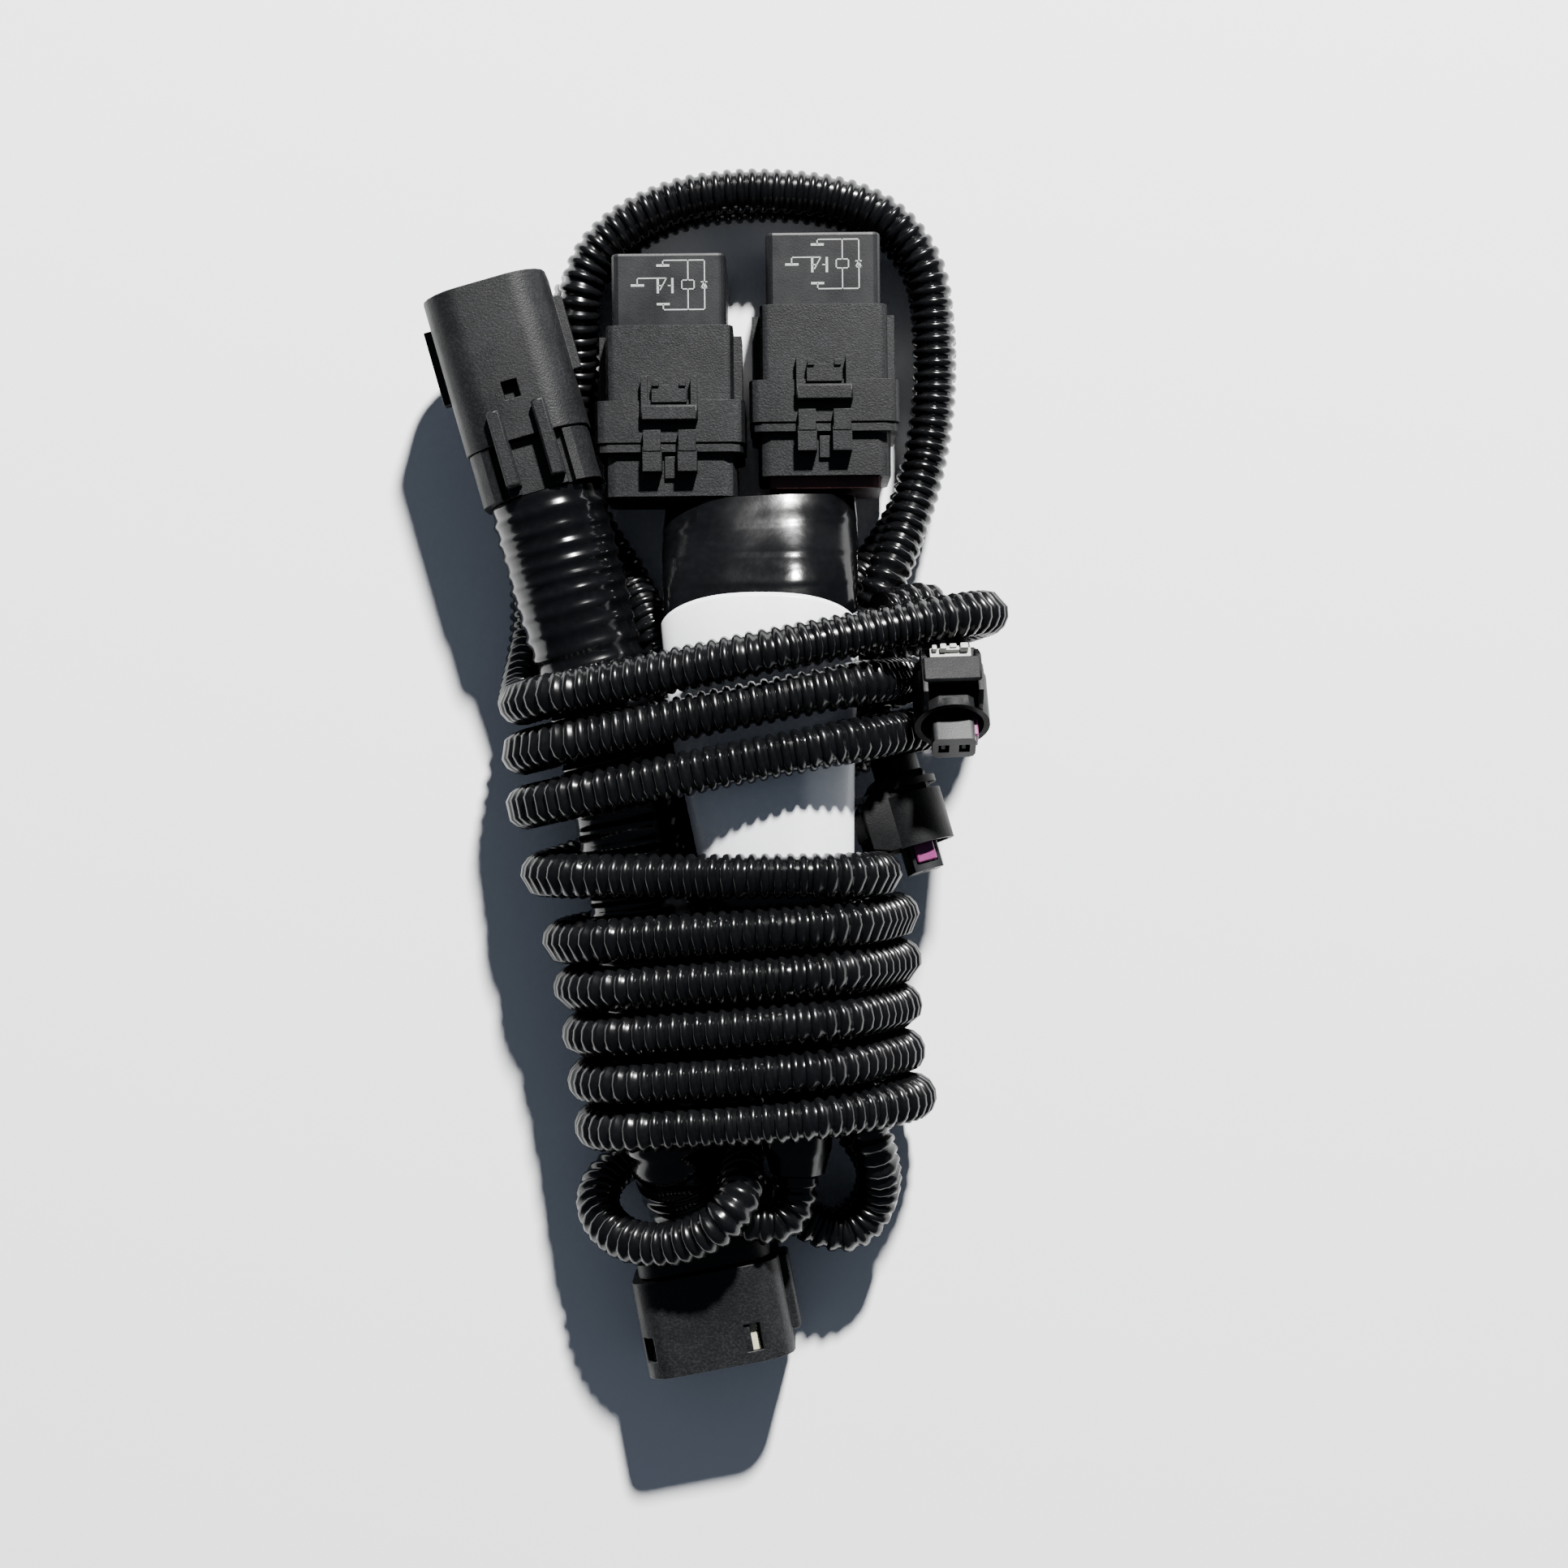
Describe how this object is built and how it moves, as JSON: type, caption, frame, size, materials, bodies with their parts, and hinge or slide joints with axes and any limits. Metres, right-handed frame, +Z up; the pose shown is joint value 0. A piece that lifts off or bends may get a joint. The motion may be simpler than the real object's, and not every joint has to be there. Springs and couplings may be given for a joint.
{
  "type": "wiring harness",
  "caption": "Coiled vehicle lamp wiring harness: taped trunks, relay sockets with square relays, large sealed plugs and small lamp plugs, with a ridged loom wound round the bundle.",
  "frame": {"origin": "on the supporting surface, under the middle of the whole coil", "axes": "+Z up from the surface, +Y towards the relays, -Y towards the large outlet plug, +X towards the small lamp plugs"},
  "size_m": [0.134, 0.281, 0.0555],
  "materials": {
    "grained_black_plastic": "grained matt",
    "relay_black_plastic": "fine matt",
    "loom_black_plastic": "glossy, ridged",
    "black_tape": "satin tape",
    "white_label": "satin",
    "grey_lock_plastic": "matt",
    "magenta_plastic": "satin",
    "red_silicone": "matt",
    "ivory_plastic": "matt",
    "tinned_brass": "bright"
  },
  "bodies": {
    "harness": {"feed_loom": "loom_black_plastic", "inlet_housing": "grained_black_plastic", "inlet_pin_header": "tinned_brass", "inlet_rear_cover": "grained_black_plastic", "inlet_wire_seal": "red_silicone", "lamp_1_housing": "grained_black_plastic", "lamp_1_lead": "loom_black_plastic", "lamp_1_retainer": "magenta_plastic", "lamp_1_ring_seal": "red_silicone", "lamp_1_terminal_block": "relay_black_plastic", "lamp_1_wire_seal": "red_silicone", "lamp_2_housing": "grained_black_plastic", "lamp_2_retainer": "magenta_plastic", "lamp_2_ring_seal": "red_silicone", "lamp_2_terminal_block": "relay_black_plastic", "lamp_2_wire_seal": "red_silicone", "link_loom": "loom_black_plastic", "long_loom": "loom_black_plastic", "main_trunk_tape": "black_tape", "outlet_housing": "grained_black_plastic", "outlet_rear_cover": "grained_black_plastic", "outlet_retainer": "ivory_plastic", "outlet_ring_seal": "red_silicone", "outlet_terminal_block": "relay_black_plastic", "outlet_wire_seal": "red_silicone", "relay_1_base": "grained_black_plastic", "relay_1_cover": "relay_black_plastic", "relay_1_socket": "grained_black_plastic", "relay_1_socket_cover": "grained_black_plastic", "relay_1_terminals": "tinned_brass", "relay_1_wire_seal": "red_silicone", "relay_2_base": "grained_black_plastic", "relay_2_cover": "relay_black_plastic", "relay_2_socket": "grained_black_plastic", "relay_2_socket_cover": "grained_black_plastic", "relay_2_terminals": "tinned_brass", "relay_2_wire_seal": "red_silicone", "relay_trunk_tape": "black_tape", "trunk_label": "white_label"},
    "lamp_1_lock": {"lamp_1_lock_slider": "grey_lock_plastic"},
    "lamp_2_lock": {"lamp_2_lock_slider": "grey_lock_plastic"}
  },
  "joints": [
    {"name": "lamp_1_lock_slide", "type": "slide", "parent": "harness", "child": "lamp_1_lock", "axis": [0.0293, -0.8382, 0.5446], "range_m": [0, 0.0016]},
    {"name": "lamp_2_lock_slide", "type": "slide", "parent": "harness", "child": "lamp_2_lock", "axis": [0.2741, -0.956, 0.1045], "range_m": [0, 0.0016]}
  ]
}
